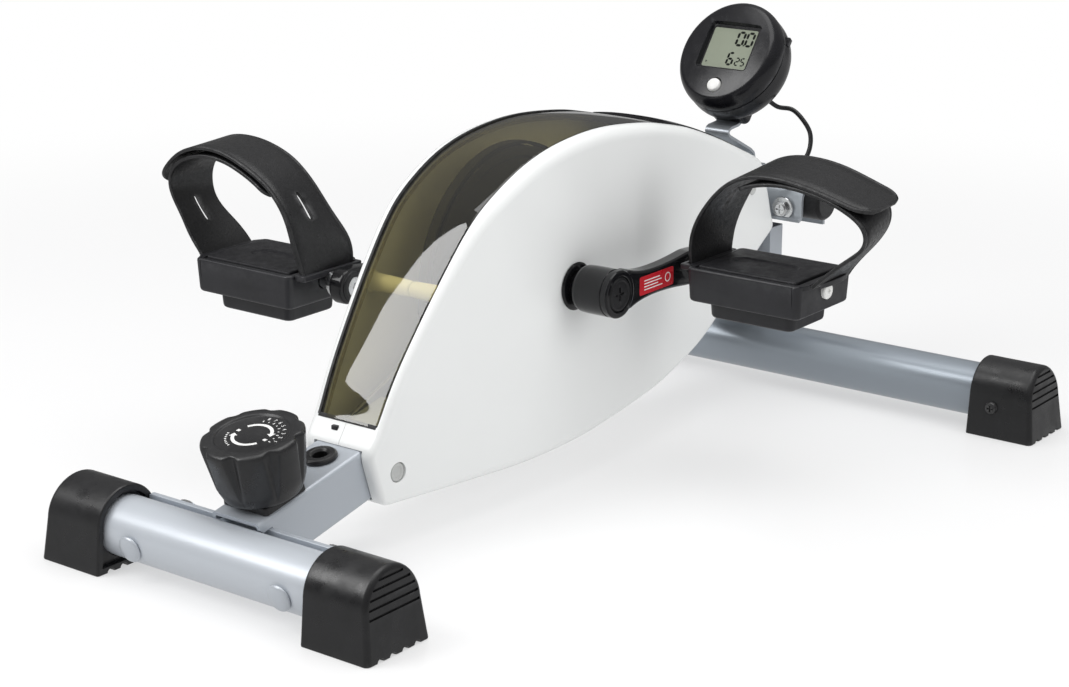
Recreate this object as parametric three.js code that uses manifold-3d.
// Under-desk pedal exerciser: a low steel frame on two cross tubes, a white two-shell housing with a
// smoked cover, a crank with strapped pedals that drives a magnet-braked flywheel through a belt, a
// tension knob on the user's side and a small display on a bent bracket at the far side.
// Millimetres, +Z up, +X to the user's right, +Y away from the user. The origin is the centre of the
// footprint, on the floor. Stations along Y count from the user-side edge of the feet; the frame
// group shifts the whole assembly back by half its length.
import * as THREE from "three";
import { mergeVertices } from "three/addons/utils/BufferGeometryUtils.js";
import Module from "manifold-3d";

const wasm = await Module();
wasm.setup();

// ---------------------------------------------------------------- driving dimensions
const LENGTH = 604; // overall, along Y
const GAP = 0.4; // running or assembly gap between neighbouring pieces
const TUBE_R = 19; // cross tubes, outside
const TUBE_WALL = 2;
const TUBE_Z = 25;
const CAP_LENGTH = 50; // rubber foot caps, along X
const CAP_DEPTH = 53; // along Y
const CAP_END = 7.2; // rubber beyond the tube's end
const REAR_TUBE_Y = CAP_DEPTH / 2; // short tube, user's side
const FRONT_TUBE_Y = LENGTH - CAP_DEPTH / 2; // long tube, far side
const REAR_HALF = 131.5; // half widths over the foot caps
const FRONT_HALF = 256.7;
const BEAM_SLOPE = Math.atan(0.2129); // about 12 degrees
const BEAM_W = 38;
const BEAM_TOP = 19.24; // above the tube's axis, square to the beam
const BEAM_H = 34.1;
const BEAM_BOTTOM = BEAM_TOP - BEAM_H;
const BEAM_WALL = 2.4;
const BEAM_END = 165;
const MOUNT_FACE = TUBE_R + GAP; // mount plate, user-side face
const MOUNT_BACK = MOUNT_FACE + 3;
const BOLT_X = 60;
const KNOB_AT = 38.5; // along the beam from the rear tube's axis
const GROMMET_AT = 88;
const CRANK_Y = 306;
const CRANK_Z = 134;
const CRANK_LENGTH = 88;
const AXLE_R = 8;
const PULLEY_R = 85; // crank pulley
const PINION_R = 16; // small pulley on the flywheel shaft
const FLY_Y = 435;
const FLY_Z = 133;
const FLY_R = 75;
const MAGNET_PIVOT_Y = 509.5;
const MAGNET_PIVOT_Z = 172;
const PLATE_X = 19.5; // inner face of each frame plate
const PLATE_T = 3;
const SHELL_T = 3; // housing wall
const PLUG_Y = 145.4; // screw plugs in the housing
const PLUG_Z = 48.8;
const HANDLE_Y = 586.4;
const HANDLE_Z = 141;
const HANDLE_BOLT_X = 42;
const HANDLE_BOLT_DROP = -5; // from the handle's axis
const SIDES = [["right", 1], ["left", -1]];

// Housing side profile (y, z), counter-clockwise from the lower user-side corner.
const PROFILE = [
  // bottom
  [133.4, 29], [160, 28], [221, 26.2], [269, 25.4], [319, 27], [350, 30.6], [381, 35], [405, 39],
  [428, 45], [456, 54.5], [471, 61], [520, 91], [567, 121.5],
  // far end
  [556, 150], [545, 175],
  // top
  [534, 181], [505, 193.5], [485, 201.5], [446, 215], [417, 222], [401, 225.3], [372, 229],
  [346, 230.8], [324, 230.4], [296, 227.4], [275, 222.8], [257, 216.6], [239, 207.8],
  [221, 196.6], [208, 184.6], [190, 163.6], [170, 137.6], [151, 110.6], [142, 95.5],
  [132.6, 78.2], [122.4, 64.2],
];
// Stations (y, half thickness) of the housing.
const HOUSING_HALF = [
  [120, 27.3], [150, 29.5], [180, 34], [215, 40.5], [250, 44.4], [285, 45], [380, 45], [450, 43],
  [510, 40], [575, 36],
];
// Stations (y, half width) of the strip that holds the smoked cover and the trim.
const COVER_HALF = [
  [120, 22.4], [133, 22.8], [170, 28], [215, 33], [260, 35], [433, 35], [500, 33], [575, 29],
];
const COVER_FROM = 132.9;
const COVER_TO = 433;
const TRIM_TO = 534;

// ---------------------------------------------------------------- solids and geometries
// A closed geometry as a solid: positions only, shared vertices merged, faces turned outwards.
function solid(geometry) {
  const bare = new THREE.BufferGeometry();
  bare.setAttribute("position", geometry.getAttribute("position"));
  bare.setIndex(geometry.getIndex());
  const merged = mergeVertices(bare, 1e-4);
  const positions = merged.attributes.position;
  const index = merged.index.array;
  const triangles = [];
  let volume = 0;
  for (let i = 0; i < index.length; i += 3) {
    const corners = [index[i], index[i + 1], index[i + 2]];
    if (new Set(corners).size < 3) continue;
    triangles.push(...corners);
    const [p, q, r] = corners.map((k) => new THREE.Vector3().fromBufferAttribute(positions, k));
    volume += p.dot(q.cross(r));
  }
  if (volume < 0) triangles.reverse();
  return new wasm.Manifold(
    new wasm.Mesh({
      numProp: 3,
      vertProperties: positions.array,
      triVerts: new Uint32Array(triangles),
    }),
  );
}
// A solid back as a geometry with flat normals.
function geometryOf(piece) {
  const mesh = piece.getMesh();
  const indexed = new THREE.BufferGeometry();
  indexed.setAttribute("position", new THREE.BufferAttribute(mesh.vertProperties, 3));
  indexed.setIndex(new THREE.BufferAttribute(mesh.triVerts, 1));
  const flat = indexed.toNonIndexed();
  flat.computeVertexNormals();
  return flat;
}
const join = (first, ...rest) => rest.reduce((a, b) => a.add(b), first);
const cut = (first, ...rest) => rest.reduce((a, b) => a.subtract(b), first);
const common = (first, ...rest) => rest.reduce((a, b) => a.intersect(b), first);
const mirrorX = (piece) => solid(geometryOf(piece).scale(-1, 1, 1));
const halfTurnZ = (piece) => solid(geometryOf(piece).scale(-1, -1, 1));

const boxGeometry = (x0, x1, y0, y1, z0, z1) =>
  new THREE.BoxGeometry(x1 - x0, y1 - y0, z1 - z0)
    .translate((x0 + x1) / 2, (y0 + y1) / 2, (z0 + z1) / 2);
const box = (...limits) => solid(boxGeometry(...limits));

// Cylinders between two stations on an axis, placed by the other two coordinates.
const cylinder = (r, sides, from, to) => new THREE.CylinderGeometry(r, r, to - from, sides);
const cylX = (r, sides, x0, x1, y = 0, z = 0) =>
  solid(cylinder(r, sides, x0, x1).rotateZ(-Math.PI / 2).translate((x0 + x1) / 2, y, z));
const cylY = (r, sides, y0, y1, x = 0, z = 0) =>
  solid(cylinder(r, sides, y0, y1).translate(x, (y0 + y1) / 2, z));
const cylZ = (r, sides, z0, z1, x = 0, y = 0) =>
  solid(cylinder(r, sides, z0, z1).rotateX(Math.PI / 2).translate(x, y, (z0 + z1) / 2));

// Turned pieces: points are (radius, station), closed on themselves or on the axis.
const lathe = (points, sides) =>
  new THREE.LatheGeometry(points.map(([r, station]) => new THREE.Vector2(r, station)), sides);
const turnX = (points, sides) => solid(lathe(points, sides).rotateZ(-Math.PI / 2));
const turnY = (points, sides) => solid(lathe(points, sides));
const turnZ = (points, sides) => solid(lathe(points, sides).rotateX(Math.PI / 2));

// A (y, z) outline run along X, an (x, z) outline run along Y, and an (x, y) outline run along Z.
function extrude(points, depth, options = {}) {
  const shape = new THREE.Shape(points.map(([a, b]) => new THREE.Vector2(a, b)));
  return new THREE.ExtrudeGeometry(shape, { depth, bevelEnabled: false, ...options });
}
const TO_X = new THREE.Matrix4().set(0, 0, 1, 0, 1, 0, 0, 0, 0, 1, 0, 0, 0, 0, 0, 1);
const TO_Y = new THREE.Matrix4().set(1, 0, 0, 0, 0, 0, -1, 0, 0, 1, 0, 0, 0, 0, 0, 1);
const prismX = (points, x0, x1) =>
  solid(extrude(points, x1 - x0).applyMatrix4(TO_X).translate(x0, 0, 0));
const prismY = (points, y0, y1) =>
  solid(extrude(points, y1 - y0).applyMatrix4(TO_Y).translate(0, y1, 0));
const prismZ = (points, z0, z1) => solid(extrude(points, z1 - z0).translate(0, 0, z0));

// ---------------------------------------------------------------- outlines
function arc(centreA, centreB, r, steps, from, to) {
  const points = [];
  for (let i = 0; i <= steps; i++) {
    const angle = from + ((to - from) * i) / steps;
    points.push([centreA + r * Math.cos(angle), centreB + r * Math.sin(angle)]);
  }
  return points;
}
const ring = (r, sides) => arc(0, 0, r, sides, 0, 2 * Math.PI).slice(0, -1);

// A round rod or cable along a smooth path.
function rod(points, r, steps, sides) {
  const extrudePath = new THREE.CatmullRomCurve3(points.map((p) => new THREE.Vector3(...p)));
  return solid(extrude(ring(r, sides), 1, { steps, extrudePath }));
}
function leftNormal(from, to) {
  const [a, b] = [to[0] - from[0], to[1] - from[1]];
  const length = Math.hypot(a, b);
  return [-b / length, a / length];
}
const dot = (a, b) => a[0] * b[0] + a[1] * b[1];
const step = (point, direction, distance) =>
  [point[0] + direction[0] * distance, point[1] + direction[1] * distance];

// An open line offset to both sides: a sheet of thickness t seen from its edge.
function band(line, t) {
  const left = [];
  const right = [];
  const last = line.length - 1;
  line.forEach((point, i) => {
    const before = i > 0 ? leftNormal(line[i - 1], point) : leftNormal(point, line[1]);
    const after = i < last ? leftNormal(point, line[i + 1]) : before;
    const sum = step(before, after, 1);
    const length = Math.hypot(...sum);
    const mitre = [sum[0] / length, sum[1] / length];
    const half = t / 2 / Math.max(0.5, dot(mitre, before)); // limits the reach of sharp corners
    left.push(step(point, mitre, half));
    right.unshift(step(point, mitre, -half));
  });
  return [...left, ...right];
}
// A closed counter-clockwise outline moved inwards.
function inset(points, distance) {
  const count = points.length;
  return points.map((point, i) => {
    const before = leftNormal(points[(i + count - 1) % count], point);
    const after = leftNormal(point, points[(i + 1) % count]);
    const reach = distance / Math.max(0.4, 1 + dot(before, after));
    return step(point, step(before, after, 1), reach);
  });
}

// ---------------------------------------------------------------- materials
const material = (options) => new THREE.MeshStandardMaterial(options);
const PAINT = material({ color: 0xb9c1ca, roughness: 0.38, metalness: 0.55 });
const RUBBER = material({ color: 0x1d1d1e, roughness: 0.62 });
const SHELL = material({ color: 0xf2f3f2, roughness: 0.3 });
const SMOKE = material({ color: 0x4a4a38, roughness: 0.12, transparent: true, opacity: 0.75 });
const BLACK = material({ color: 0x151516, roughness: 0.45 });
const GLOSS = material({ color: 0x0e0e0f, roughness: 0.25 });
const PEDAL = material({ color: 0x232326, roughness: 0.55 });
const ZINC = material({ color: 0xb4b6ba, roughness: 0.3, metalness: 1 });
const STEEL = material({ color: 0x8e9196, roughness: 0.35, metalness: 1 });
const BELT = material({ color: 0x121212, roughness: 0.8 });
const WHITE = material({ color: 0xe9e9e6, roughness: 0.4 });
const GLASS = material({ color: 0x9aa596, roughness: 0.15 });
const FOAM = material({ color: 0x171718, roughness: 0.85 });
const CABLE = material({ color: 0x101011, roughness: 0.5 });

// ---------------------------------------------------------------- groups
const exerciser = new THREE.Group();
function groupAt(parent, x, y, z, tilt = 0) {
  const group = new THREE.Group();
  group.position.set(x, y, z);
  group.rotation.x = tilt;
  parent.add(group);
  return group;
}
function put(group, name, piece, material, at = [0, 0, 0]) {
  const mesh = new THREE.Mesh(geometryOf(piece), material);
  mesh.name = name;
  mesh.position.set(...at);
  group.add(mesh);
}
// A right-hand piece and its mirror image across the mid plane.
function putPair(group, name, piece, material, [x, y, z] = [0, 0, 0]) {
  put(group, name + "_right", piece, material, [x, y, z]);
  put(group, name + "_left", mirrorX(piece), material, [-x, y, z]);
}
const frame = groupAt(exerciser, 0, -LENGTH / 2, 0);
const rearJoint = groupAt(frame, 0, REAR_TUBE_Y, TUBE_Z, BEAM_SLOPE); // tilted with the beam

// ---------------------------------------------------------------- cross tubes and foot caps
function crossTube(halfOverCaps) {
  const half = halfOverCaps - CAP_END - 0.3;
  return cut(
    cylX(TUBE_R, 28, -half, half),
    cylX(TUBE_R - TUBE_WALL, 24, -half - 1, half + 1),
  );
}
const withBoltHoles = (piece) =>
  cut(piece, cylY(4.7, 8, -30, 30, BOLT_X), cylY(4.7, 8, -30, 30, -BOLT_X));
put(rearJoint, "rear_stabilizer_tube", withBoltHoles(crossTube(REAR_HALF)), PAINT);
put(frame, "front_stabilizer_tube", crossTube(FRONT_HALF), PAINT, [0, FRONT_TUBE_Y, TUBE_Z]);

// D-shaped in side view, its outer face leaning in, with grip grooves on that face and notches
// under the sole. Built for the right-hand end with x = 0 at its inner face.
function footCap() {
  const half = CAP_DEPTH / 2;
  const leanFrom = 6;
  const cutTop = 55;
  const beyond = CAP_LENGTH + 5;
  const faceAt = (z) => CAP_LENGTH - (z - leanFrom) * (6 / 45);
  const lean = [
    [CAP_LENGTH, leanFrom], [faceAt(cutTop), cutTop], [beyond, cutTop], [beyond, leanFrom],
  ];
  const grooves = [26, 31, 36, 41].map((z) =>
    box(faceAt(z) - 1, CAP_LENGTH + 2, -30, 30, z, z + 1.5));
  const notches = [-15, 0, 15].map((y) =>
    box(CAP_LENGTH - 10, CAP_LENGTH + 1, y - 3, y + 3, -1, 2.6));
  return cut(
    prismX([[-half, 0], [half, 0], ...arc(0, 27, 23.8, 12, 0, Math.PI)], 0, CAP_LENGTH),
    prismY(lean, -40, 40),
    cylX(TUBE_R + GAP, 24, -1, CAP_LENGTH - CAP_END, 0, TUBE_Z), // tube socket
    ...grooves,
    ...notches,
  );
}
putPair(frame, "rear_foot_cap", footCap(), RUBBER, [REAR_HALF - CAP_LENGTH, REAR_TUBE_Y, 0]);
putPair(frame, "front_foot_cap", footCap(), RUBBER, [FRONT_HALF - CAP_LENGTH, FRONT_TUBE_Y, 0]);

// ---------------------------------------------------------------- rear joint: plate, bolts, beam
// Mount plate; the tab in its middle plugs into the beam's open end.
const mountPlate = join(
  box(-81, 81, MOUNT_FACE, MOUNT_BACK, -16, 12),
  box(-16.1, 16.1, MOUNT_FACE, MOUNT_BACK, 11, 16.4),
);
put(rearJoint, "rear_mount_plate", withBoltHoles(mountPlate), PAINT);

// Carriage bolt: domed head on the user's side, shank through tube and plate.
const carriageBolt = turnY([
  [0, 33.5], [4, 33.5], [4, -TUBE_R - 0.3], [8, -TUBE_R - 0.3], [6.6, -TUBE_R - 2.8],
  [0, -TUBE_R - 4.2],
], 12);
const flangeNut = cut(
  join(
    cylY(7.4, 6, MOUNT_BACK + 1.8, MOUNT_BACK + 8),
    cylY(9, 12, MOUNT_BACK + 0.3, MOUNT_BACK + 2.1),
  ),
  cylY(4.7, 8, 0, 60),
);
for (const [side, sign] of SIDES) {
  put(rearJoint, "rear_bolt_" + side, carriageBolt, ZINC, [sign * BOLT_X, 0, 0]);
  put(rearJoint, "rear_nut_" + side, flangeNut, ZINC, [sign * BOLT_X, 0, 0]);
}

// Rectangular beam, open at both ends, its top wall and coped side walls reaching over the tube.
function mainBeam() {
  const half = BEAM_W / 2;
  const bore = half - BEAM_WALL;
  const lipFrom = 12.6;
  const lipTo = MOUNT_BACK + 1;
  const lipWalls = join(
    box(-half, -bore, lipFrom, lipTo, 12.4, BEAM_TOP),
    box(bore, half, lipFrom, lipTo, 12.4, BEAM_TOP),
  );
  return cut(
    join(
      box(-half, half, MOUNT_BACK + 0.3, BEAM_END, BEAM_BOTTOM, BEAM_TOP),
      box(-half, half, lipFrom, lipTo, BEAM_TOP - BEAM_WALL, BEAM_TOP),
      cut(lipWalls, cylX(TUBE_R + 0.6, 48, -30, 30)),
    ),
    box(
      -bore, bore, MOUNT_BACK - 0.5, BEAM_END + 1, BEAM_BOTTOM + BEAM_WALL, BEAM_TOP - BEAM_WALL,
    ),
    cylZ(8.1, 14, 10, 25, 0, KNOB_AT),
    cylZ(8.1, 14, 10, 25, 0, GROMMET_AT),
  );
}
put(rearJoint, "main_beam", mainBeam(), PAINT);

// Rubber grommet in the beam's top, near the housing.
const grommet = turnZ([
  [0, 14.5], [7.5, 14.5], [7.5, BEAM_TOP + 0.35], [10.6, BEAM_TOP + 0.35],
  [10.2, BEAM_TOP + 2.6], [5.4, BEAM_TOP + 3.2], [4.6, BEAM_TOP + 1.2], [0, BEAM_TOP + 1.2],
], 14);
put(rearJoint, "cable_grommet", grommet, RUBBER, [0, GROMMET_AT, 0]);

// ---------------------------------------------------------------- tension knob on its collar
const collar = cut(
  join(
    box(-18, 18, -17.5, 17.5, BEAM_TOP + 0.35, BEAM_TOP + 4.8),
    cylZ(7.5, 14, 8, BEAM_TOP + 1),
  ),
  cylZ(4.9, 10, 0, 40),
);
put(rearJoint, "knob_collar", collar, BLACK, [0, KNOB_AT, 0]);

// Fluted knob, narrower at the foot, with a shallow dish on top and a stem through the collar.
function tensionKnob() {
  const radius = 31;
  const flutes = 8;
  const fluteDepth = 2.34;
  const sides = 48;
  const top = BEAM_TOP + 42.9;
  const foot = BEAM_TOP + 5.2;
  const outline = [];
  for (let i = 0; i < sides; i++) {
    const angle = (2 * Math.PI * i) / sides;
    const r = radius - fluteDepth * Math.abs(Math.sin((angle * flutes) / 2)) ** 3;
    outline.push([r * Math.cos(angle), r * Math.sin(angle)]);
  }
  const envelope = turnZ([
    [0, foot - 1], [26, foot - 1], [radius, top - 12], [radius, top - 3.5],
    [radius - 3.5, top + 0.01], [0, top + 0.01],
  ], 20);
  const dish = turnZ([[0, top - 1.2], [21.5, top - 1.2], [22.6, top + 1], [0, top + 1]], 20);
  const grip = cut(common(prismZ(outline, foot, top), envelope), dish);
  return join(grip, cylZ(4.2, 10, 6, foot + 2));
}
put(groupAt(rearJoint, 0, KNOB_AT, 0), "tension_knob", tensionKnob(), BLACK);

// ---------------------------------------------------------------- frame plates and front upright
// Two steel plates carry the crank and the flywheel and run from the beam to the front upright.
// Side outline (y, z).
const PLATE_OUTLINE = [
  [138, 38], [200, 47], [300, 38], [352, 41], [400, 49], [440, 60], [476, 72], [500, 66],
  [566, 56], [566, 112], [556, 124], [545, 150], [534, 166], [500, 176], [420, 172], [345, 164],
  [300, 164], [262, 146], [200, 88], [150, 68],
];
// Holes (radius, sides, y, z): crank, flywheel, magnet arm and two open ones.
const PLATE_HOLES = [
  [14.6, 16, CRANK_Y, CRANK_Z],
  [6.8, 12, FLY_Y, FLY_Z],
  [5, 10, MAGNET_PIVOT_Y, MAGNET_PIVOT_Z],
  [16, 14, 372, 104],
  [14, 14, 240, 84],
];
const framePlate = cut(
  prismX(PLATE_OUTLINE, PLATE_X, PLATE_X + PLATE_T),
  ...PLATE_HOLES.map(([r, sides, y, z]) => cylX(r, sides, 0, 40, y, z)),
);
putPair(frame, "frame_plate", framePlate, STEEL);

// Upright: a channel that stands on the long tube, open towards the far side.
const upright = cut(
  box(-31, 31, 569.6, 587, 38, 119),
  box(-28, 28, 572.6, 590, 29, 116),
  cylX(TUBE_R + 0.35, 32, -40, 40, FRONT_TUBE_Y, TUBE_Z),
);
put(frame, "front_upright", upright, PAINT);

// ---------------------------------------------------------------- handle
// Short handle bar in a bent saddle on the upright.
const grip = turnX([[0, -69], [12, -69], [14, -67], [14, 67], [12, 69], [0, 69]], 20);
put(frame, "handle_grip", grip, FOAM, [0, HANDLE_Y, HANDLE_Z]);

function handleSaddle() {
  const legEnd = -21.6;
  const outerR = 17.4;
  const innerR = 14.7;
  const legInside = outerR - 3;
  const outline = [
    [-outerR, legEnd], ...arc(0, 0, outerR, 12, Math.PI, 0), [outerR, legEnd],
    [legInside, legEnd], ...arc(0, 0, innerR, 12, 0, Math.PI), [-legInside, legEnd],
  ];
  return cut(
    prismX(outline, -57, 57),
    ...[-1, 1].map((s) => cylY(3.5, 8, -30, 0, s * HANDLE_BOLT_X, HANDLE_BOLT_DROP)),
  );
}
put(frame, "handle_saddle", handleSaddle(), ZINC, [0, HANDLE_Y, HANDLE_Z]);

// Shank, washer and hexagonal head on the user's side.
const handleBolt = join(
  cylY(3, 8, -22, -14.8),
  cylY(8, 12, -19.2, -17.75),
  cylY(6, 6, -23.4, -19),
);
for (const [side, sign] of SIDES) {
  const at = [sign * HANDLE_BOLT_X, HANDLE_Y, HANDLE_Z + HANDLE_BOLT_DROP];
  put(frame, "handle_bolt_" + side, handleBolt, ZINC, at);
}

// ---------------------------------------------------------------- housing shells, cover, trim, plugs
const CEILING = 300; // above everything in the housing
// The plan of a station table as a tall block: both halves, or from x = left to the right edge.
const rightEdge = (table, grow) => table.map(([y, half]) => [half + grow, y]);
function fullPlan(table, grow) {
  const right = rightEdge(table, grow);
  return prismZ([...right, ...right.map(([x, y]) => [-x, y]).reverse()], 0, CEILING);
}
function rightPlan(table, grow, left) {
  const corners = [[left, table.at(-1)[0]], [left, table[0][0]]];
  return prismZ([...rightEdge(table, grow), ...corners], 0, CEILING);
}
function housingHalfAt(y) {
  const next = HOUSING_HALF.findIndex(([station]) => station >= y);
  const [y0, half0] = HOUSING_HALF[next - 1];
  const [y1, half1] = HOUSING_HALF[next];
  return half0 + ((half1 - half0) * (y - y0)) / (y1 - y0);
}

function rightShell() {
  const body = common(prismX(PROFILE, 0.15, 60), rightPlan(HOUSING_HALF, 0, 0));
  const hollow = common(
    prismX(inset(PROFILE, SHELL_T), -1, 60),
    rightPlan(HOUSING_HALF, -SHELL_T, -1),
  );
  const bossY = 197;
  const boss = cylX(5.5, 16, 0.2, housingHalfAt(bossY) - 1, bossY, 148);
  // Only the wall is cut for the cover and the trim, so the strip follows the profile.
  const windowFrom = COVER_FROM - 0.45;
  const windowTo = TRIM_TO + GAP;
  const windowSide = [
    [windowFrom, 70], [440, 140], [windowTo, 150], [windowTo, CEILING], [windowFrom, CEILING],
  ];
  const strip = common(
    cut(prismX(inset(PROFILE, -3), -1, 60), prismX(inset(PROFILE, SHELL_T + 0.4), -2, 61)),
    prismX(windowSide, -1, 60),
    fullPlan(COVER_HALF, 0.3),
  );
  const half = BEAM_W / 2 + GAP;
  const beamOpening = boxGeometry(-half, half, 80, 140, BEAM_BOTTOM - GAP, BEAM_TOP + GAP)
    .rotateX(BEAM_SLOPE)
    .translate(0, REAR_TUBE_Y, TUBE_Z);
  const plateOpening = [[474, 30], [575, 30], [575, 131], [474, 72]];
  return cut(
    join(cut(body, hollow), boss),
    strip,
    solid(beamOpening),
    cylX(13.5, 18, 20, 60, CRANK_Y, CRANK_Z),
    prismX(plateOpening, -1, PLATE_X + PLATE_T + 0.6),
    cylX(6.5, 16, 27.2, 40, PLUG_Y, PLUG_Z),
  );
}
putPair(frame, "shell", rightShell(), SHELL);

// A stretch of the top wall, inside the cover strip, above the line between two (y, z) points.
function topStretch([yFrom, zFrom], [yTo, zTo]) {
  const side = [[yFrom, zFrom], [yTo, zTo], [yTo, CEILING], [yFrom, CEILING]];
  return common(
    cut(prismX(PROFILE, -40, 40), prismX(inset(PROFILE, 2.4), -41, 41)),
    prismX(side, -60, 60),
    fullPlan(COVER_HALF, 0),
  );
}
put(frame, "smoked_cover", topStretch([COVER_FROM, 70], [COVER_TO, 140]), SMOKE);
put(frame, "trim_strip", topStretch([COVER_TO + GAP, 140], [TRIM_TO, 150]), BLACK);
putPair(frame, "screw_plug", cylX(6, 16, 27.6, 29.7, PLUG_Y, PLUG_Z), WHITE);

// ---------------------------------------------------------------- crank
const crank = groupAt(frame, 0, CRANK_Y, CRANK_Z);
const axle = turnX([
  [0, -76], [7, -76], [AXLE_R, -75], [AXLE_R, 75], [7, 76], [0, 76],
], 16);
put(crank, "crank_axle", axle, STEEL);

const bearings = groupAt(frame, 0, CRANK_Y, CRANK_Z);
const bearing = turnX([
  [8.5, 18.8], [13.8, 18.8], [13.8, 22.9], [16.5, 22.9], [16.5, 25.4], [8.5, 25.4], [8.5, 18.8],
], 16);
putPair(bearings, "crank_bearing", bearing, STEEL);
const seal = turnX([
  [9.2, 41], [12.9, 41], [12.9, 45.35], [15, 45.35], [14.4, 47.2], [9.2, 47.2], [9.2, 41],
], 18);
putPair(bearings, "crank_seal", seal, BLACK);

const pulley = turnX([
  [8.4, -18.4], [14, -18.4], [14, -14], [78, -14], [78, -16], [PULLEY_R, -16], [PULLEY_R, -6],
  [78, -6], [78, -8], [8.4, -8], [8.4, -18.4],
], 32);
put(crank, "crank_pulley", pulley, BLACK);

// Right-hand arm, pointing away from the user at rest; the left-hand one is turned half a turn.
function crankArm() {
  const steps = 6;
  const edge = [];
  for (let i = 0; i <= steps; i++) {
    const t = i / steps;
    // wide at the hub, narrow at the neck, wider again at the pedal eye
    const half = 8.6 + 6 * Math.pow(1 - t, 6) + 3.4 * Math.pow(t, 3);
    edge.push([6 + t * (CRANK_LENGTH - 12), half]);
  }
  const outline = [
    ...arc(0, 0, 15.2, 10, 0.9, 2 * Math.PI - 0.9),
    ...edge.map(([y, half]) => [y, -half]),
    ...arc(CRANK_LENGTH, 0, 13, 8, -1.2, 1.2),
    ...edge.reverse(),
  ];
  const hub = turnX([
    [0, 47.9], [10.5, 47.9], [10.5, 51.3], [15.5, 51.3], [15.5, 80], [0, 80],
  ], 24);
  return cut(
    join(prismX(outline, 68, 80), hub),
    cylX(AXLE_R + GAP, 16, 40, 77),
    cylX(11.6, 18, 76.3, 81), // dust cap recess
    cylX(7.1, 14, 60, 90, CRANK_LENGTH), // pedal eye
  );
}
const rightArm = crankArm();
put(crank, "crank_arm_right", rightArm, GLOSS);
put(crank, "crank_arm_left", halfTurnZ(rightArm), GLOSS);
const dustCap = turnX([[0, 76.7], [11.1, 76.7], [11.1, 79.5], [10.2, 80.4], [0, 80.4]], 18);
putPair(crank, "crank_dust_cap", dustCap, BLACK);

// Pedal spindle: stub in the arm's eye, hexagonal collar and long pin.
const spindle = join(
  turnX([[0, 66.2], [6.6, 66.2], [6.6, 81], [0, 81]], 12),
  cylX(9, 6, 80.4, 85.8),
  turnX([[0, 85], [5, 85], [5, 177.4], [0, 177.4]], 12),
);
put(crank, "pedal_spindle_right", spindle, ZINC, [0, CRANK_LENGTH, 0]);
put(crank, "pedal_spindle_left", mirrorX(spindle), ZINC, [0, -CRANK_LENGTH, 0]);

// ---------------------------------------------------------------- pedals with their two-piece straps
const PEDAL_IN = 94; // pedal body, inner and outer end, from the mid plane
const PEDAL_OUT = 179.5;
const STRAP_T = 3;
const STRAP_W = 48;
// Strap centre lines (x, z) from the slots in the pedal, and the opening in each strap.
const UPPER_STRAP = [
  [90.5, 6.4], [90.7, 12], [92.5, 19], [97, 29], [104, 42], [112, 52.5], [122, 61], [133, 68],
  [147, 74.5], [163, 79], [180, 80.8], [194, 79.5], [206, 74], [215, 65.5], [220.5, 56],
  [222.5, 50],
];
const UPPER_OPENING = [[106, 38], [122, 38], [116, 60], [100, 50]];
const LOWER_STRAP = [
  [183, 6.4], [183.6, 11], [187.5, 17], [193, 24.5], [199, 34], [204.5, 44], [208, 52],
  [208.3, 60], [204, 67.5], [195, 73], [183, 75.8], [170, 75.4], [156, 72.2], [142, 66.8],
  [131, 60.6], [124, 54.8],
];
const LOWER_OPENING = [[190, 27], [201, 23], [212, 40], [200, 44]];

const strap = (line, opening) =>
  cut(prismY(band(line, STRAP_T), -STRAP_W / 2, STRAP_W / 2), prismY(opening, -2, 2));

// A block with rounded upright edges, reaching from -halfY to halfY.
function roundedBlock(x0, x1, halfY, r, z0, z1) {
  const corner = (x, y, quarter) =>
    arc(x, y, r, 2, (quarter * Math.PI) / 2, ((quarter + 1) * Math.PI) / 2);
  return prismZ([
    ...corner(x1 - r, halfY - r, 0),
    ...corner(x0 + r, halfY - r, 1),
    ...corner(x0 + r, r - halfY, 2),
    ...corner(x1 - r, r - halfY, 3),
  ], z0, z1);
}
function pedalBody() {
  const slotHalf = STRAP_W / 2 + 0.8;
  return cut(
    join(
      roundedBlock(PEDAL_IN, PEDAL_OUT, 33.5, 4, -14, 9),
      roundedBlock(PEDAL_IN + 11, PEDAL_OUT - 11, 22.5, 5, -26, -13),
      // lugs that hold the strap ends
      box(PEDAL_IN - 7, PEDAL_IN + 2, -28, 28, 5.8, 9),
      box(PEDAL_OUT - 2, PEDAL_OUT + 7, -28, 28, 5.8, 9),
    ),
    cylX(5.7, 14, 80, 190), // spindle bore
    // strap slots
    box(PEDAL_IN - 5.5, PEDAL_IN - 1.5, -slotHalf, slotHalf, 5, 10),
    box(PEDAL_OUT + 1.5, PEDAL_OUT + 5.5, -slotHalf, slotHalf, 5, 10),
    // shallow tread recess inside a raised rim
    box(PEDAL_IN + 5, PEDAL_OUT - 5, -28, 28, 8, 10),
  );
}
const pedalEndCap = turnX([
  [0, PEDAL_OUT + GAP], [5.2, PEDAL_OUT + GAP], [5.2, 181.4], [4.4, 182.2], [0, 182.2],
], 14);
const PEDAL_PARTS = [
  ["pedal_body_", pedalBody(), PEDAL],
  ["pedal_strap_upper_", strap(UPPER_STRAP, UPPER_OPENING), RUBBER],
  ["pedal_strap_lower_", strap(LOWER_STRAP, LOWER_OPENING), RUBBER],
  ["pedal_end_cap_", pedalEndCap, WHITE],
];
for (const [side, sign] of SIDES) {
  const pedal = groupAt(crank, 0, sign * CRANK_LENGTH, 0);
  for (const [name, piece, finish] of PEDAL_PARTS) {
    put(pedal, name + side, sign > 0 ? piece : mirrorX(piece), finish);
  }
}

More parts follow.
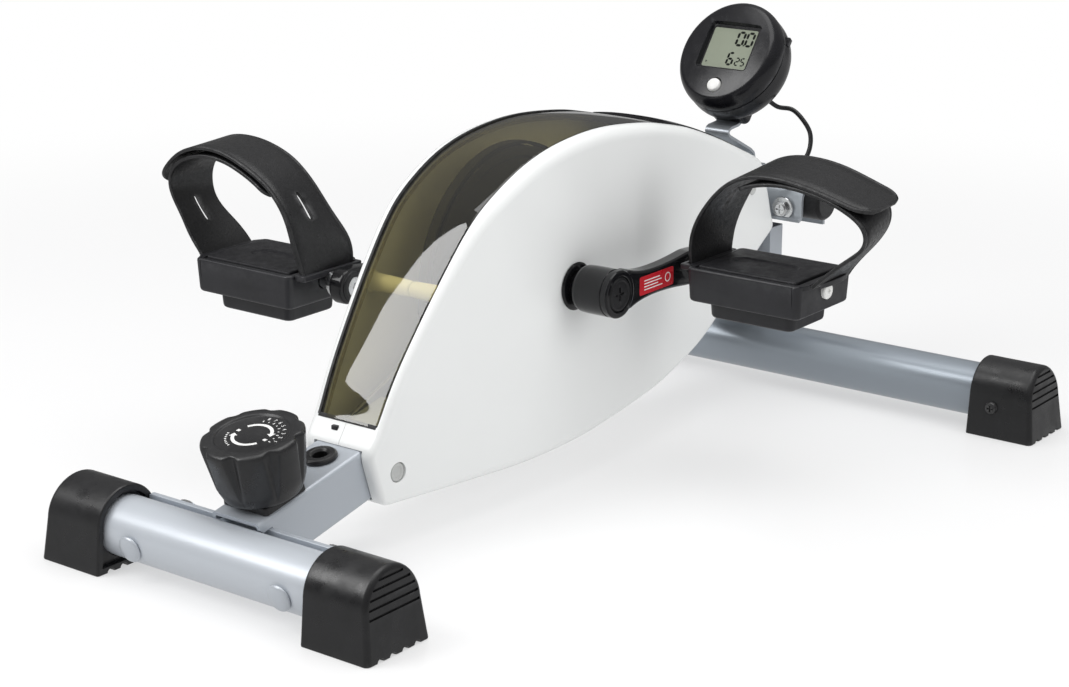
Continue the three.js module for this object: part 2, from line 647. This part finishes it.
// ---------------------------------------------------------------- belt and flywheel
// The loop round both pulleys, standing off their rims.
function beltLoop(standOff) {
  const [dy, dz] = [FLY_Y - CRANK_Y, FLY_Z - CRANK_Z];
  const base = Math.atan2(dz, dy);
  const open = Math.acos((PULLEY_R - PINION_R) / Math.hypot(dy, dz));
  const [from, to] = [base + open, base + 2 * Math.PI - open];
  return [
    ...arc(CRANK_Y, CRANK_Z, PULLEY_R + standOff, 32, from, to),
    ...arc(FLY_Y, FLY_Z, PINION_R + standOff, 8, base - open, base + open),
  ];
}
const belt = cut(prismX(beltLoop(2.8), -14.5, -7.5), prismX(beltLoop(0.9), -20, 0));
put(frame, "drive_belt", belt, BELT);

const fly = groupAt(frame, 0, FLY_Y, FLY_Z);
const flywheel = turnX([
  [6.5, 4], [14, 4], [14, 9], [62, 9], [62, 4], [FLY_R, 4], [FLY_R, 18], [62, 18], [62, 13],
  [6.5, 13], [6.5, 4],
], 30);
put(fly, "flywheel", flywheel, STEEL);
// Shaft with the small pulley in one piece.
const flywheelShaft = turnX([
  [0, -24], [6, -24], [6, -15.6], [PINION_R, -15.6], [PINION_R, -6.4], [6, -6.4], [6, 24],
  [0, 24],
], 16);
put(fly, "flywheel_shaft", flywheelShaft, STEEL);

// ---------------------------------------------------------------- magnet brake
// Curved arm round the flywheel's far side, swinging on two trunnions.
function magnetArm() {
  const y = FLY_Y - MAGNET_PIVOT_Y;
  const z = FLY_Z - MAGNET_PIVOT_Z;
  const edge = (r) => arc(y, z, r, 10, -0.36, 0.44);
  return join(
    prismX([...edge(FLY_R + 10), ...edge(FLY_R + 3).reverse()], 5, 17),
    prismX([[-0.5, -16], [5, -20], [9, -1], [1, 8], [-7, 2]], 5, 17),
    cylX(4.2, 14, -23, 23),
    cylX(7, 16, -19, 19),
  );
}
put(groupAt(frame, 0, MAGNET_PIVOT_Y, MAGNET_PIVOT_Z), "magnet_arm", magnetArm(), ZINC);

// Return spring on the far side of the arm, coiled along Y.
function returnSpring() {
  const turns = 4;
  const coilR = 4.4;
  const length = 22;
  const points = [];
  for (let i = 0; i <= turns * 6; i++) {
    const angle = (2 * Math.PI * i) / 6;
    const y = 529.5 + (length * i) / (turns * 6);
    points.push([11 + coilR * Math.cos(angle), y, 141 + coilR * Math.sin(angle)]);
  }
  return rod(points, 0.6, turns * 7, 4);
}
put(frame, "return_spring", returnSpring(), ZINC);

// Tension cable (x, y, z) from under the knob, through the beam and along the housing's floor.
const TENSION_PATH = [
  [-1, 75.4, 35.4], [-1, 125, 43.5], [-1, 180, 54.5], [-1, 205, 54], [-1, 245, 42.5],
  [-1, 300, 35], [-1, 380, 41.5], [-1, 430, 51.5], [-1, 470, 71], [-1, 494, 87],
];
put(frame, "tension_cable", rod(TENSION_PATH, 1.5, 16, 6), CABLE);

// ---------------------------------------------------------------- display pod, bracket and cable
// The pod's own +Z is the display's viewing direction.
const pod = groupAt(frame, 1.2, 560.1, 242.8, THREE.MathUtils.degToRad(53));
const POD_A = 40; // half axes of the oval pod
const POD_B = 43;
const POD_WALL = 2.7;
const slab = (z0, z1) => box(-60, 60, -60, 60, z0, z1);

// An oval block, smaller than the pod by `shrink` all round, with both rims rounded off.
function oval(shrink, z0, z1, { bevelSize, bevelThickness, bevelSegments }) {
  const a = POD_A - shrink - bevelSize;
  const b = POD_B - shrink - bevelSize;
  const outline = ring(1, 24).map(([x, y]) => [a * x, b * y]);
  const options = { bevelEnabled: true, bevelSize, bevelThickness, bevelSegments };
  return solid(
    extrude(outline, z1 - z0 - 2 * bevelThickness, options).translate(0, 0, z0 + bevelThickness),
  );
}
const frontShell = cut(
  common(oval(0, -16, 16, { bevelSize: 7, bevelThickness: 6, bevelSegments: 2 }), slab(0.2, 30)),
  oval(POD_WALL, -16, 12.5, { bevelSize: 6, bevelThickness: 5, bevelSegments: 1 }),
  box(-17.9, 20.9, -14, 20, 5, 30), // display window
  cylZ(5.5, 14, 5, 30, 2, -29), // button hole
);
put(pod, "display_front_shell", frontShell, BLACK);
const backShell = cut(
  common(
    oval(0, -26, 26, { bevelSize: 12, bevelThickness: 15, bevelSegments: 3 }),
    slab(-30, -0.2),
  ),
  oval(POD_WALL, -23.5, 23.5, { bevelSize: 12, bevelThickness: 13, bevelSegments: 1 }),
  cylZ(2.6, 8, -30, -20, 20, -14), // cable hole
);
put(pod, "display_back_shell", backShell, BLACK);
put(pod, "display_lens", box(-20, 23, -17, 23, 9.4, 12.1), GLASS);
const button = turnZ([[0, 7.5], [6.6, 7.5], [6.6, 9.2], [4.9, 9.2], [4.9, 16], [0, 17.4]], 12);
put(pod, "display_button", button, WHITE, [2, -29, 0]);

// Centre line (y, z) of the bent sheet, from the pod down to the handle.
const BRACKET_LINE = [
  [577.2, 219.9], [561.4, 199], [555, 196.2], [545.5, 195.4], [542.3, 194.2], [541.4, 192],
  [543.4, 189.8], [573, 175.2], [577.6, 171.6], [578.8, 167], [579.6, 162.4], [582.4, 160.2],
  [594, 160.2],
];
put(frame, "display_bracket", prismX(band(BRACKET_LINE, 2), -10, 10), ZINC);

// Cable path (x, y, z) from the pod's back down to the housing.
const DISPLAY_PATH = [
  [21.2, 571.5, 216.7], [21.3, 575, 214], [25, 584.5, 207], [33.8, 590, 205.2],
  [43.4, 590, 198.5], [50.6, 589, 188.9], [52.5, 583.5, 175.8], [47, 572, 163], [39, 563, 157],
  [32, 557.8, 155.5],
];
put(frame, "display_cable", rod(DISPLAY_PATH, 1.7, 22, 6), CABLE);

export default exerciser;
